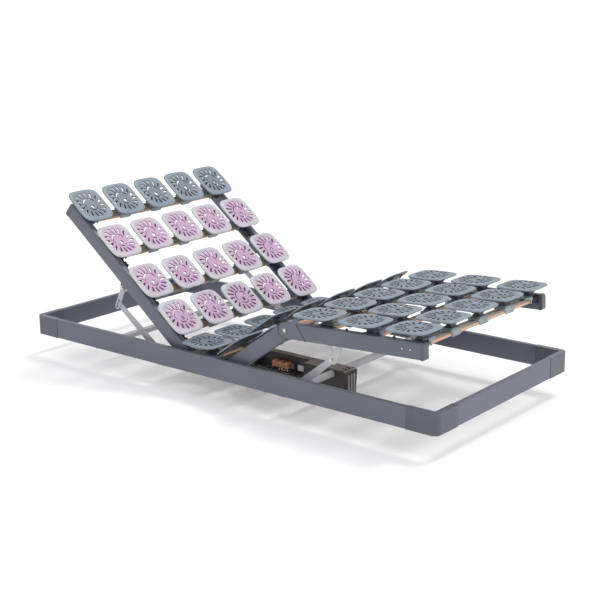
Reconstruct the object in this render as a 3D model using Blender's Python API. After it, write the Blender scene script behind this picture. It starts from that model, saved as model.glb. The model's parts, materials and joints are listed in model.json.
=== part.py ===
"""Adjustable bed base: a fixed frame, a hinged backrest, thigh and calf section, and their drive.

Metres, +Z up. The head end is towards -X, the near long side is -Y. The origin lies under the
middle of the frame, at the height of the drive's underside. Heights below are measured from the
underside of the fixed frame, which FRAME_RAISE lifts above the origin.
"""

import math

import bmesh
import bpy

# Fixed frame
FRAME_LENGTH = 2.0
FRAME_WIDTH = 0.9
FRAME_HEIGHT = 0.08
FRAME_RAISE = 0.09
FRAME_THICKNESS = 0.022
RAIL_INSET = 0.0015
CORNER_RADIUS = 0.023
CORNER_ALONG = 0.126
CORNER_ACROSS = 0.130
CORNER_EDGE = 0.002
FRAME_RAIL_TOP = FRAME_HEIGHT - 0.0005
SPIGOT_LENGTH = 0.030
TUBE_WALL = 0.002
TUBE_EDGE = 0.003
TUBE_INNER_EDGE = 0.0012
GAP = 0.0003
SPIGOT_GAP = 0.0006
# The bent brackets that carry the shafts: sheet, and the y planes of their cheek and bearing
BRACKET_SHEET = 0.0028
BRACKET_TOP = 0.036
BRACKET_CHEEK = (0.350, 0.3545)
BEARING_PLANE = (0.3435, 0.3605)
BEARING_RADIUS = 0.0185
# The angle bar across the head end, below the backrest
CROSS_MEMBER_X = (-0.692, -0.664)
CROSS_MEMBER_Z = (-0.013, 0.005)
CROSS_MEMBER_SHEET = 0.0025
CROSS_MEMBER_TAB_TOP = 0.032

# Rails of the lying surface
RAIL_INNER = 0.384
RAIL_OUTER = 0.409
RAIL_TOP = 0.008
RAIL_BOTTOM = -0.052
RAIL_CENTRE = (RAIL_TOP + RAIL_BOTTOM) / 2
RAIL_HALF = (RAIL_TOP - RAIL_BOTTOM) / 2
RAIL_START = 0.010
EAR = (0.388, 0.394)
EAR_RADIUS = 0.014
PIN_RADIUS = 0.005
CAP_LENGTH = 0.018
CAP_PROUD = 0.001
CAP_EDGE = 0.010
HANGER_PLANE = (0.3845, 0.3885)
BOLT_PROUD = 0.0015

# Hinges: x and height of each axis, angle at rest in degrees, length of the section
BACKREST_HINGE = (-0.1614, 0.062)
BACKREST_ANGLE = 38.4
BACKREST_LENGTH = 0.812
THIGH_HINGE = (0.037, 0.062)
THIGH_ANGLE = 35.5
THIGH_LENGTH = 0.332
CALF_ANGLE = 2.9
CALF_LENGTH = 0.600
KNEE_RADIUS = 0.030
KNEE_SEAM_TOP = 0.053
KNEE_SEAM_BOTTOM = 0.093
CALF_BOLTS = (0.510, 0.543)

# Rows of plates: distance of each row from its section's hinge
BACKREST_ROWS = (0.757, 0.555, 0.336, 0.140)
THIGH_ROWS = (0.057, 0.257)
CALF_ROWS = (0.125, 0.325, 0.527)
SEAT_ROW_X = -0.106
PLATES_PER_ROW = 5
PLATE_PITCH = 0.18
PLATE_HALF_WIDTH = 0.077
PLATE_HALF_LENGTH = 0.083
PLATE_TOP = 0.046
PLATE_THICKNESS = 0.005
SLAT_OFFSET = 0.030
SLAT_WIDTH = 0.038
SLAT_HEIGHTS = (-0.016, -0.004)
HOLDER_LENGTH = 0.030
SLAT_REACH = RAIL_INNER - 0.0005
STRIP_TOP = 0.006
MODULE_TOP = 0.012
MODULE_HALVES = (0.020, 0.038)
STEM_HALF = 0.012

# Drive shafts, levers and links
HEAD_SHAFT = (-0.320, 0.000)
FOOT_SHAFT = (0.336, 0.011)
SHAFT_RADIUS = 0.014
SHAFT_HALF = 0.381
LEVER_PLANE = (0.375, 0.3795)
LINK_PLANE = (0.380, 0.384)
LEVER_ROOT = 0.0175
LEVER_TIP = 0.011
LINK_EYE = (0.4138, -0.0810)
LINK_LENGTH = 0.080
LINK_HALF_WIDTH = 0.012
LINK_LEAN = 25.0
KNEE_BRACKET_EYE = (0.1876, -0.0895)
# Each prong of the calf's lift bracket: its lower and upper end, both measured from the eye
KNEE_BRACKET_PRONGS = (((0.002, -0.001), -0.017), ((0.008, -0.004), 0.052))
CRANK_LENGTH = 0.055
CRANK_ROLLER = 0.008
HEAD_CRANK_LEAN = -24.0
FOOT_CRANK_LEAN = 27.5

# Drive housing
DRIVE_X = (-0.385, 0.400)
DRIVE_Y = (-0.155, -0.080)
DRIVE_Z = (-0.090, 0.0275)
DRIVE_WALL = 0.003
DRIVE_MIDDLE = (DRIVE_Y[0] + DRIVE_Y[1]) / 2
RECESS_X = (-0.050, 0.200)
RECESS_BACK = -0.112
RECESS_FLOOR = -0.035
MOTOR_RADIUS = 0.022
MOTOR_HEIGHT = -0.0605
MOTOR_LENGTH = 0.130
HEAD_MOTOR_START = -0.140
FOOT_MOTOR_START = 0.050
SPINDLE_RADIUS = 0.005
HEAD_SPINDLE_HEIGHT = -0.054
FOOT_SPINDLE_HEIGHT = -0.048
HEAD_SPINDLE_END = -0.376
FOOT_SPINDLE_END = 0.386
CONNECTOR_X = (0.030, 0.110)
CONNECTOR_FRONT = -0.140
CONNECTOR_TOP = 0.003

NEAR, FAR = -1, 1
SIDES = (("near", NEAR), ("far", FAR))
CIRCLE_STEPS = 20


# ---------------------------------------------------------------- outlines and solids

def arc(centre, radius, start, end, steps):
    """Points on an arc, angles in degrees from the first axis towards the second."""
    angles = [math.radians(start + (end - start) * i / steps) for i in range(steps + 1)]
    return [(centre[0] + radius * math.cos(a), centre[1] + radius * math.sin(a)) for a in angles]


def circle(centre, radius, steps=CIRCLE_STEPS):
    return arc(centre, radius, 0, 360, steps)[:-1]


def rectangle(low, high, radius, steps=3):
    """A rectangle with rounded corners."""
    (u0, v0), (u1, v1) = low, high
    corners = (((u1 - radius, v1 - radius), 0), ((u0 + radius, v1 - radius), 90),
               ((u0 + radius, v0 + radius), 180), ((u1 - radius, v0 + radius), 270))
    return [p for centre, start in corners for p in arc(centre, radius, start, start + 90, steps)]


def bar(start, end, start_radius, end_radius, steps=6):
    """A flat bar with round ends between two eyes, which may differ in width."""
    turn = math.degrees(math.atan2(end[1] - start[1], end[0] - start[0]))
    first = arc(start, start_radius, turn + 90, turn + 270, steps)
    return first + arc(end, end_radius, turn - 90, turn + 90, steps)


def rounded_square(half_u, half_v, power=4.0, steps=16):
    """A closed curve between an ellipse and a rectangle."""
    points = []
    for i in range(steps):
        a = 2 * math.pi * (i + 0.5) / steps
        u = math.copysign(abs(math.cos(a)) ** (2 / power), math.cos(a))
        v = math.copysign(abs(math.sin(a)) ** (2 / power), math.sin(a))
        points.append((half_u * u, half_v * v))
    return points


def place(axis, point, depth):
    u, v = point
    return {"X": (depth, u, v), "Y": (u, depth, v), "Z": (u, v, depth)}[axis]


def mesh_of(name, bm):
    bmesh.ops.recalc_face_normals(bm, faces=bm.faces)
    mesh = bpy.data.meshes.new(name)
    bm.to_mesh(mesh)
    bm.free()
    return mesh


def prism(outline, low, high, axis="Y", hole=None):
    """An outline extruded from low to high along an axis. A hole is an outline with as many points."""
    bm = bmesh.new()
    low, high = min(low, high), max(low, high)
    rings = []
    for ring in [outline] + ([hole] if hole else []):
        rings.append([[bm.verts.new(place(axis, p, depth)) for p in ring] for depth in (low, high)])
    for bottom, top in rings:
        for i in range(len(bottom)):
            j = (i + 1) % len(bottom)
            bm.faces.new((bottom[i], bottom[j], top[j], top[i]))
    if hole:
        for level in (0, 1):
            outer, inner = rings[0][level], rings[1][level]
            for i in range(len(outer)):
                j = (i + 1) % len(outer)
                bm.faces.new((outer[i], outer[j], inner[j], inner[i]))
    else:
        bm.faces.new(rings[0][0])
        bm.faces.new(rings[0][1])
    return mesh_of("prism", bm)


def box(x, y, z):
    """A box from three pairs of limits."""
    outline = [(min(x), min(y)), (max(x), min(y)), (max(x), max(y)), (min(x), max(y))]
    return prism(outline, z[0], z[1], "Z")


def boolean(mesh, others, operation):
    """The mesh joined with the others, or with the others cut out of it."""
    target = bpy.data.objects.new("target", mesh)
    helpers = [bpy.data.objects.new("helper", other) for other in others]
    for obj in (target, *helpers):
        bpy.context.scene.collection.objects.link(obj)
    for helper in helpers:
        modifier = target.modifiers.new("boolean", "BOOLEAN")
        modifier.operation = operation
        modifier.solver = "EXACT"
        modifier.object = helper
    graph = bpy.context.evaluated_depsgraph_get()
    made = bpy.data.meshes.new_from_object(target.evaluated_get(graph))
    for obj in (target, *helpers):
        data = obj.data
        bpy.data.objects.remove(obj)
        bpy.data.meshes.remove(data)
    return made


def fuse(first, *others):
    return boolean(first, others, "UNION")


def cut(mesh, *cutters):
    return boolean(mesh, cutters, "DIFFERENCE")


def span(side, inner, outer):
    """The y limits of something between two half widths, on one side of the bed."""
    return (side * inner, side * outer)


# ---------------------------------------------------------------- objects

MATERIALS = {
    "painted_frame": ((0.125, 0.135, 0.165), 0.5, 0.0),
    "plain_steel": ((0.46, 0.47, 0.48), 0.4, 0.6),
    "grey_plate": ((0.30, 0.35, 0.39), 0.5, 0.0),
    "pink_plate": ((0.66, 0.52, 0.66), 0.5, 0.0),
    "beech": ((0.62, 0.40, 0.24), 0.5, 0.0),
    "dark_housing": ((0.035, 0.030, 0.030), 0.5, 0.0),
    "machined_steel": ((0.50, 0.50, 0.50), 0.3, 0.9),
    "brown_connector": ((0.45, 0.16, 0.07), 0.5, 0.0),
}
SMOOTH_BELOW = math.radians(35)


def make_materials():
    for name, (colour, roughness, metallic) in MATERIALS.items():
        made = bpy.data.materials.new(name)
        made.use_nodes = True
        shader = made.node_tree.nodes["Principled BSDF"]
        shader.inputs["Base Color"].default_value = (*colour, 1.0)
        shader.inputs["Roughness"].default_value = roughness
        shader.inputs["Metallic"].default_value = metallic


def axis_empty(name, x, z, turn, parent):
    """An empty on a hinge line. turn is in degrees, positive where what points to -X rises."""
    empty = bpy.data.objects.new(name, None)
    bpy.context.scene.collection.objects.link(empty)
    empty.parent = parent
    empty.location = (x, 0.0, z)
    empty.rotation_euler = (0.0, math.radians(turn), 0.0)
    return empty


def add(name, mesh, material, parent):
    mesh.name = name
    mesh.materials.clear()
    mesh.materials.append(bpy.data.materials[material])
    mesh.shade_smooth()
    mesh.set_sharp_from_angle(angle=SMOOTH_BELOW)
    obj = bpy.data.objects.new(name, mesh)
    bpy.context.scene.collection.objects.link(obj)
    obj.parent = parent
    return obj


# ---------------------------------------------------------------- fixed frame

def frame_rail(low, high, axis, reach):
    """A hollow rail of the fixed frame: low and high are the corners of its section."""
    inner_low = (low[0] + TUBE_WALL, low[1] + TUBE_WALL)
    inner_high = (high[0] - TUBE_WALL, high[1] - TUBE_WALL)
    outer = rectangle(low, high, TUBE_EDGE)
    inner = rectangle(inner_low, inner_high, TUBE_INNER_EDGE)
    return prism(outer, -reach, reach, axis, hole=inner)


def side_rail(side):
    u = sorted(span(side, FRAME_WIDTH / 2 - FRAME_THICKNESS, FRAME_WIDTH / 2 - RAIL_INSET))
    reach = FRAME_LENGTH / 2 - CORNER_ALONG - GAP
    return frame_rail((u[0], 0.0), (u[1], FRAME_RAIL_TOP), "X", reach)


def end_rail(end):
    u = sorted(span(end, FRAME_LENGTH / 2 - FRAME_THICKNESS, FRAME_LENGTH / 2 - RAIL_INSET))
    reach = FRAME_WIDTH / 2 - CORNER_ACROSS - GAP
    return frame_rail((u[0], 0.0), (u[1], FRAME_RAIL_TOP), "Y", reach)


def corner(end, side):
    """A round corner piece with a spigot into each of its two rails."""
    half_length, half_width, thick = FRAME_LENGTH / 2, FRAME_WIDTH / 2, FRAME_THICKNESS + 0.001
    x0, y0 = half_length - CORNER_ALONG, half_width - CORNER_ACROSS
    radius = CORNER_RADIUS + CORNER_EDGE
    centre = (half_length - radius, half_width - radius)
    outer = arc(centre, radius, 0, 90, 6)
    inner = arc(centre, radius - thick, 90, 0, 3)
    outline = [(half_length - thick, y0), (half_length, y0), *outer, (x0, half_width),
               (x0, half_width - thick), *inner]
    outline = [(end * x, side * y) for x, y in outline]
    mass = prism(outline, 0.0, FRAME_HEIGHT, "Z")
    inset = TUBE_WALL + SPIGOT_GAP
    spigot_z = (inset, FRAME_RAIL_TOP - inset)
    x_walls = (half_length - FRAME_THICKNESS + inset, half_length - RAIL_INSET - inset)
    y_walls = (half_width - FRAME_THICKNESS + inset, half_width - RAIL_INSET - inset)
    along = box((end * (x0 - SPIGOT_LENGTH), end * (x0 + 0.010)), (side * y_walls[0], side * y_walls[1]), spigot_z)
    across = box((end * x_walls[0], end * x_walls[1]), (side * (y0 - SPIGOT_LENGTH), side * (y0 + 0.010)), spigot_z)
    return fuse(mass, along, across)


def cross_member():
    """An angle bar across the head end, below the backrest, with a bolting tab at each end."""
    (front, back), (bottom, top), sheet = CROSS_MEMBER_X, CROSS_MEMBER_Z, CROSS_MEMBER_SHEET
    reach = FRAME_WIDTH / 2 - FRAME_THICKNESS - GAP
    outline = [(front, top), (back, top), (back, bottom), (back - sheet, bottom),
               (back - sheet, top - sheet), (front, top - sheet)]
    member = prism(outline, -reach, reach)
    tabs = [box((front, back), span(side, reach - 0.003, reach), (top - 0.002, CROSS_MEMBER_TAB_TOP))
            for _, side in SIDES]
    return fuse(member, *tabs)


def bearing_bracket(side, shaft, direction):
    """A bent bracket from the side rail, under the moving rail, to the shaft's bearing. It lies on
    the side of the shaft that the lever doesn't swing to, which direction gives."""
    x, z = shaft
    tab_y = FRAME_WIDTH / 2 - FRAME_THICKNESS - GAP
    floor = z - LEVER_ROOT - 0.0012
    step, sheet = max(floor, -0.008), BRACKET_SHEET
    inner, bend = BRACKET_CHEEK[0] + 0.0005, LINK_PLANE[1] + 0.013
    outline = [(side * y, level) for y, level in (
        (tab_y, BRACKET_TOP), (tab_y, step - sheet), (bend + 0.001, floor - sheet), (inner, floor - sheet),
        (inner, floor + 0.010), (inner + sheet, floor + 0.010), (inner + sheet, floor),
        (bend, floor), (tab_y - sheet, step), (tab_y - sheet, BRACKET_TOP))]
    strip = prism(outline, x + direction * 0.003, x + direction * 0.040, "X")
    cheek = prism(bar((x, z), (x + direction * 0.024, floor + 0.006), BEARING_RADIUS + 0.002, 0.009),
                  *span(side, *BRACKET_CHEEK))
    bearing = prism(circle((x, z), BEARING_RADIUS, 24), *span(side, *BEARING_PLANE))
    bore = prism(circle((x, z), SHAFT_RADIUS + GAP, 24),
                 *span(side, BEARING_PLANE[0] - 0.01, BEARING_PLANE[1] + 0.01))
    return cut(fuse(strip, cheek, bearing), bore)


def make_frame(base):
    for word, side in SIDES:
        add(f"side_rail_{word}", side_rail(side), "painted_frame", base)
        add(f"head_bearing_{word}", bearing_bracket(side, HEAD_SHAFT, 1), "plain_steel", base)
        add(f"foot_bearing_{word}", bearing_bracket(side, FOOT_SHAFT, -1), "plain_steel", base)
        for end_word, end in (("head", -1), ("foot", 1)):
            add(f"corner_{end_word}_{word}", corner(end, side), "painted_frame", base)
    add("head_rail", end_rail(-1), "painted_frame", base)
    add("foot_rail", end_rail(1), "painted_frame", base)
    add("head_cross_member", cross_member(), "plain_steel", base)


# ---------------------------------------------------------------- rails of the lying surface

def rail_tube(side, start, end, bottom=RAIL_BOTTOM, top=RAIL_TOP):
    """A hollow rectangular rail along X."""
    u = sorted(span(side, RAIL_INNER, RAIL_OUTER))
    outer = rectangle((u[0], bottom), (u[1], top), TUBE_EDGE)
    inner = rectangle((u[0] + TUBE_WALL, bottom + TUBE_WALL), (u[1] - TUBE_WALL, top - TUBE_WALL), TUBE_INNER_EDGE)
    return prism(outer, start, end, "X", hole=inner)


def end_plug(side, start, end, bottom=RAIL_BOTTOM, top=RAIL_TOP):
    """The welded-in end of a rail, flush inside its walls."""
    wall = TUBE_WALL / 2
    return box((start, end), span(side, RAIL_INNER + wall, RAIL_OUTER - wall), (bottom + wall, top - wall))


def hinge_ear(side, direction):
    """The ear of a moving rail, which turns on the seat rail's pin at the section's origin."""
    end = (direction * (RAIL_START + 0.015), 0.0)
    return prism(bar((0.0, 0.0), end, EAR_RADIUS, EAR_RADIUS / 2), *span(side, *EAR))


def pin_hole(side):
    return prism(circle((0.0, 0.0), PIN_RADIUS + GAP, 12), *span(side, EAR[0] - 0.002, EAR[1] + 0.002))


def cap(side, direction, rail_end, bottom, top):
    """A plastic end cap with a rounded end, a little proud of the rail, plugged into it."""
    end = rail_end + direction * CAP_LENGTH
    low, high = bottom - CAP_PROUD, top + CAP_PROUD
    radius = CAP_EDGE
    near_edge = rail_end + direction * GAP
    if direction > 0:
        outline = [(near_edge, low), *arc((end - radius, low + radius), radius, -90, 0, 4),
                   *arc((end - radius, high - radius), radius, 0, 90, 4), (near_edge, high)]
    else:
        outline = [(near_edge, high), *arc((end + radius, high - radius), radius, 90, 180, 4),
                   *arc((end + radius, low + radius), radius, 180, 270, 4), (near_edge, low)]
    head = prism(outline, *span(side, RAIL_INNER - CAP_PROUD, RAIL_OUTER + CAP_PROUD))
    inset = TUBE_WALL + SPIGOT_GAP
    plug = box((near_edge + direction * 0.004, near_edge - direction * 0.022),
               span(side, RAIL_INNER + inset, RAIL_OUTER - inset), (bottom + inset, top - inset))
    return fuse(head, plug)


def backrest_rail(side):
    """A backrest rail with its hinge ear and the hanging ear that the lift link turns on."""
    rail_end = -(BACKREST_LENGTH - CAP_LENGTH)
    tube = rail_tube(side, -RAIL_START, rail_end)
    plug = end_plug(side, -RAIL_START, -(RAIL_START + 0.020))
    eye = (-LINK_EYE[0], LINK_EYE[1])
    plate = [(eye[0] - 0.030, RAIL_BOTTOM + 0.001), *arc(eye, 0.012, 200, 340, 6),
             (eye[0] + 0.030, RAIL_BOTTOM + 0.001)]
    hanger = prism(plate, *span(side, *HANGER_PLANE))
    rail = fuse(tube, plug, hinge_ear(side, -1), hanger)
    return cut(rail, pin_hole(side))


def thigh_rail(side):
    """A thigh rail: hinge ear at the seat, and a half-thickness round lug at the knee."""
    lap = (RAIL_INNER + RAIL_OUTER) / 2
    knee = (THIGH_LENGTH, RAIL_CENTRE)
    tube_end = THIGH_LENGTH - KNEE_RADIUS + 0.012
    tube = rail_tube(side, RAIL_START, tube_end)
    plug = end_plug(side, RAIL_START, RAIL_START + 0.020)
    inset = 0.7 * TUBE_WALL
    knee_plug = end_plug(side, tube_end - 0.040, tube_end - 0.0005)
    lug = prism(bar((tube_end - 0.020, knee[1]), knee, RAIL_HALF - inset, KNEE_RADIUS - inset),
                *span(side, RAIL_INNER + inset, lap + 0.001))
    rail = fuse(tube, plug, knee_plug, lug, hinge_ear(side, 1))
    clearance = prism(circle(knee, KNEE_RADIUS + 0.0012, 28), *span(side, lap - GAP, RAIL_OUTER + 0.01))
    bolt_hole = prism(circle(knee, PIN_RADIUS + GAP, 12), *span(side, RAIL_INNER - 0.01, lap + 0.01))
    vent_centre = (THIGH_LENGTH / 2, side * (RAIL_INNER + RAIL_OUTER) / 2)
    vent = prism(circle(vent_centre, 0.004, 10), RAIL_BOTTOM - 0.01, RAIL_BOTTOM + 0.01, "Z")
    return cut(rail, pin_hole(side), clearance, bolt_hole, vent)


def knee_fitting(side):
    """The calf rail's end piece: a round outer lug on the knee bolt, then a spigot into the rail."""
    lap = (RAIL_INNER + RAIL_OUTER) / 2
    half = RAIL_HALF
    clear = KNEE_RADIUS + 0.003
    round_end = arc((0.0, 0.0), half, 90, 270, 10)
    outer_outline = [*round_end, (KNEE_SEAM_BOTTOM - GAP, -half), (KNEE_SEAM_TOP - GAP, half)]
    outer = prism(outer_outline, *span(side, lap, RAIL_OUTER))
    body_outline = [(clear, -half), (KNEE_SEAM_BOTTOM - GAP, -half), (KNEE_SEAM_TOP - GAP, half), (clear, half)]
    body = prism(body_outline, *span(side, RAIL_INNER, RAIL_OUTER - 0.001))
    inset = TUBE_WALL + SPIGOT_GAP
    spigot_outline = [(KNEE_SEAM_BOTTOM - 0.030, -half + inset), (KNEE_SEAM_BOTTOM + 0.020, -half + inset),
                      (KNEE_SEAM_BOTTOM + 0.020, half - inset), (KNEE_SEAM_TOP - 0.010, half - inset)]
    spigot = prism(spigot_outline, *span(side, RAIL_INNER + inset, RAIL_OUTER - inset))
    bolt = prism(circle((0.0, 0.0), PIN_RADIUS, 12), *span(side, RAIL_INNER + 0.001, lap + 0.004))
    head = prism(circle((0.0, 0.0), 0.0075, 16), *span(side, RAIL_OUTER - 0.001, RAIL_OUTER + BOLT_PROUD))
    return fuse(outer, body, spigot, bolt, head)


def calf_rail(side):
    """A calf rail with a slanting joint to the knee fitting, two bolt heads and the lift bracket."""
    half = RAIL_HALF
    rail_end = CALF_LENGTH - CAP_LENGTH
    tube = rail_tube(side, KNEE_SEAM_TOP - 0.010, rail_end, -half, half)
    waste_outline = [(KNEE_SEAM_TOP - 0.030, -half - 0.01), (KNEE_SEAM_BOTTOM + 0.00667, -half - 0.01),
                     (KNEE_SEAM_TOP - 0.00667, half + 0.01), (KNEE_SEAM_TOP - 0.030, half + 0.01)]
    tube = cut(tube, prism(waste_outline, *span(side, RAIL_INNER - 0.01, RAIL_OUTER + 0.01)))
    eye, top = KNEE_BRACKET_EYE, -half + 0.018
    plane = span(side, LINK_PLANE[0], RAIL_INNER + 0.0007)
    prongs = [prism(bar((eye[0] + low[0], eye[1] + low[1]), (eye[0] + lean, top), 0.0125, 0.0095), *plane)
              for low, lean in KNEE_BRACKET_PRONGS]
    heads = [prism(circle((s, 0.002), 0.005, 10), *span(side, RAIL_OUTER - 0.001, RAIL_OUTER + BOLT_PROUD))
             for s in CALF_BOLTS]
    return fuse(tube, *prongs, *heads)


def seat_rail(side):
    """A fixed seat rail on spacer lugs, with a hinge leaf and pin at each end."""
    start, end = BACKREST_HINGE[0], THIGH_HINGE[0]
    height = BACKREST_HINGE[1]
    tube_start, tube_end = start + EAR_RADIUS + 0.002, end - EAR_RADIUS - 0.002
    tube = rail_tube(side, tube_start, tube_end, height + RAIL_BOTTOM, height + RAIL_TOP)
    parts = []
    for hinge, inward in ((start, 1), (end, -1)):
        leaf_end = (hinge + inward * 0.045, height - 0.010)
        leaf = bar((hinge, height), leaf_end, 0.0125, 0.014)
        parts.append(prism(leaf, *span(side, RAIL_INNER - 0.0035, RAIL_INNER - GAP)))
        parts.append(prism(circle(leaf_end, 0.011, 12), *span(side, RAIL_INNER - 0.003, RAIL_INNER + 0.001)))
        parts.append(prism(circle((hinge, height), PIN_RADIUS, 12), *span(side, RAIL_INNER - 0.001, 0.3975)))
        lug_x = hinge + inward * 0.045
        gap_limits = span(side, RAIL_OUTER - 0.001, FRAME_WIDTH / 2 - FRAME_THICKNESS - GAP)
        parts.append(box((lug_x - 0.012, lug_x + 0.012), gap_limits, (0.024, 0.056)))
    return fuse(tube, *parts)


# ---------------------------------------------------------------- slats and plates

def slat(x):
    """A slat across the bed with the holder at each end that seats it between the rails."""
    low, high = SLAT_HEIGHTS
    reach = SLAT_REACH
    wood = box((x - SLAT_WIDTH / 2, x + SLAT_WIDTH / 2), (-reach + 0.004, reach - 0.004), (low, high))
    holders = [box((x - SLAT_WIDTH / 2 - 0.004, x + SLAT_WIDTH / 2 + 0.004),
                   span(side, reach - HOLDER_LENGTH, reach), (low - 0.004, high + 0.002)) for _, side in SIDES]
    return fuse(wood, *holders)


def plate_row(x):
    """The plates of one row with their stems, modules and the strip that clips on the slat."""
    clip_x = x + SLAT_OFFSET
    inner_end = SLAT_REACH - HOLDER_LENGTH - 0.002
    strip = box((clip_x - 0.014, clip_x + 0.014), (-inner_end, inner_end),
                (SLAT_HEIGHTS[1] + GAP, STRIP_TOP))
    half_length, half_width = MODULE_HALVES
    pieces = []
    for i in range(PLATES_PER_ROW):
        y = (i - (PLATES_PER_ROW - 1) / 2) * PLATE_PITCH
        module_y = [max(-inner_end, min(inner_end, y + reach)) for reach in (-half_width, half_width)]
        pieces.append(box((clip_x - half_length, clip_x + half_length), module_y,
                          (SLAT_HEIGHTS[1] + 2 * GAP, MODULE_TOP)))
        stem_y = math.copysign(min(abs(y), inner_end - 0.016), y)
        pieces.append(box((clip_x - STEM_HALF, clip_x + STEM_HALF), (stem_y - STEM_HALF, stem_y + STEM_HALF),
                          (MODULE_TOP - 0.002, PLATE_TOP - PLATE_THICKNESS + 0.001)))
        outline = [(x + u, y + v) for u, v in rounded_square(PLATE_HALF_LENGTH, PLATE_HALF_WIDTH)]
        pieces.append(prism(outline, PLATE_TOP - PLATE_THICKNESS, PLATE_TOP, "Z"))
    return fuse(strip, *pieces)


def make_row(label, number, x, rise, material, parent):
    """One slat and its plates, with the plates' centre at x. Rise lifts the row over its hinge line."""
    suffix = f"_{number}" if number else ""
    for name, mesh, finish in ((f"{label}_slat{suffix}", slat(x + SLAT_OFFSET), "beech"),
                               (f"{label}_plates{suffix}", plate_row(x), material)):
        made = add(name, mesh, finish, parent)
        made.location.z = rise


def make_seat(base):
    for word, side in SIDES:
        add(f"seat_rail_{word}", seat_rail(side), "painted_frame", base)
    make_row("seat", 0, SEAT_ROW_X, BACKREST_HINGE[1], "grey_plate", base)


def make_backrest(hinge):
    rail_end = -(BACKREST_LENGTH - CAP_LENGTH)
    for word, side in SIDES:
        add(f"backrest_rail_{word}", backrest_rail(side), "painted_frame", hinge)
        add(f"backrest_cap_{word}", cap(side, -1, rail_end, RAIL_BOTTOM, RAIL_TOP), "painted_frame", hinge)
    for number, distance in enumerate(BACKREST_ROWS, 1):
        finish = "grey_plate" if number == 1 else "pink_plate"
        make_row("backrest", number, -distance, 0.0, finish, hinge)


def make_thigh(hinge):
    for word, side in SIDES:
        add(f"thigh_rail_{word}", thigh_rail(side), "painted_frame", hinge)
    for number, distance in enumerate(THIGH_ROWS, 1):
        make_row("thigh", number, distance, 0.0, "grey_plate", hinge)


def make_calf(knee):
    rail_end = CALF_LENGTH - CAP_LENGTH
    for word, side in SIDES:
        add(f"calf_rail_{word}", calf_rail(side), "painted_frame", knee)
        add(f"knee_fitting_{word}", knee_fitting(side), "painted_frame", knee)
        add(f"calf_cap_{word}", cap(side, 1, rail_end, -RAIL_HALF, RAIL_HALF), "painted_frame", knee)
    for number, distance in enumerate(CALF_ROWS, 1):
        make_row("calf", number, distance, -RAIL_CENTRE, "grey_plate", knee)


# ---------------------------------------------------------------- shafts, levers, links

def crank_angle(lean):
    """Where the crank's end lies: lean is from straight down, positive towards the foot."""
    return (CRANK_LENGTH * math.sin(math.radians(lean)), -CRANK_LENGTH * math.cos(math.radians(lean)))


def shaft(lever_length, lever_lean, crank_lean):
    """A cross tube with a lever near each end and a forked crank for the drive. Its lever lies along
    -X or +X, by the sign of lever_length, and the whole is turned to its rest angle by its parent."""
    tube = prism(circle((0.0, 0.0), SHAFT_RADIUS, 24), -SHAFT_HALF, SHAFT_HALF,
                 hole=circle((0.0, 0.0), SHAFT_RADIUS - TUBE_WALL, 24))
    parts = []
    tip = (lever_length, 0.0)
    for _, side in SIDES:
        plate = prism(bar((0.0, 0.0), tip, LEVER_ROOT, LEVER_TIP), *span(side, *LEVER_PLANE))
        parts.append(cut(plate, prism(circle((0.0, 0.0), SHAFT_RADIUS - TUBE_WALL / 2, 24),
                                      *span(side, LEVER_PLANE[0] - 0.01, LEVER_PLANE[1] + 0.01))))
    x, z = crank_angle(crank_lean + lever_lean)
    for offset in (-0.014, 0.014):
        middle = DRIVE_MIDDLE + offset
        arm = prism(bar((0.0, 0.0), (x, z), SHAFT_RADIUS - 0.0005, CRANK_ROLLER), middle - 0.002, middle + 0.002)
        parts.append(cut(arm, prism(circle((0.0, 0.0), SHAFT_RADIUS - TUBE_WALL / 2, 24),
                                    middle - 0.01, middle + 0.01)))
    return fuse(tube, *parts)


def make_head_link(word, side, axis):
    """The short link that hangs from the backrest's hanger. Its lower eye is a slot along the link."""
    plate = prism(bar((0.0, 0.0), (0.0, -LINK_LENGTH - 0.012), LINK_HALF_WIDTH, LINK_HALF_WIDTH),
                  *span(side, *LINK_PLANE))
    slot = prism(bar((0.0, -LINK_LENGTH - 0.013), (0.0, -LINK_LENGTH + 0.018), 0.005, 0.005),
                 *span(side, LINK_PLANE[0] - 0.01, LINK_PLANE[1] + 0.01))
    add(f"head_link_{word}", cut(plate, slot), "plain_steel", axis)


def rest_point(hinge, angle, direction, local):
    """A point of a section, given along and above its rail, in the frame's x and height."""
    a = math.radians(angle)
    s, h = local
    x = hinge[0] + direction * (s * math.cos(a) - h * math.sin(a))
    return x, hinge[1] + s * math.sin(a) + h * math.cos(a)


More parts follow.
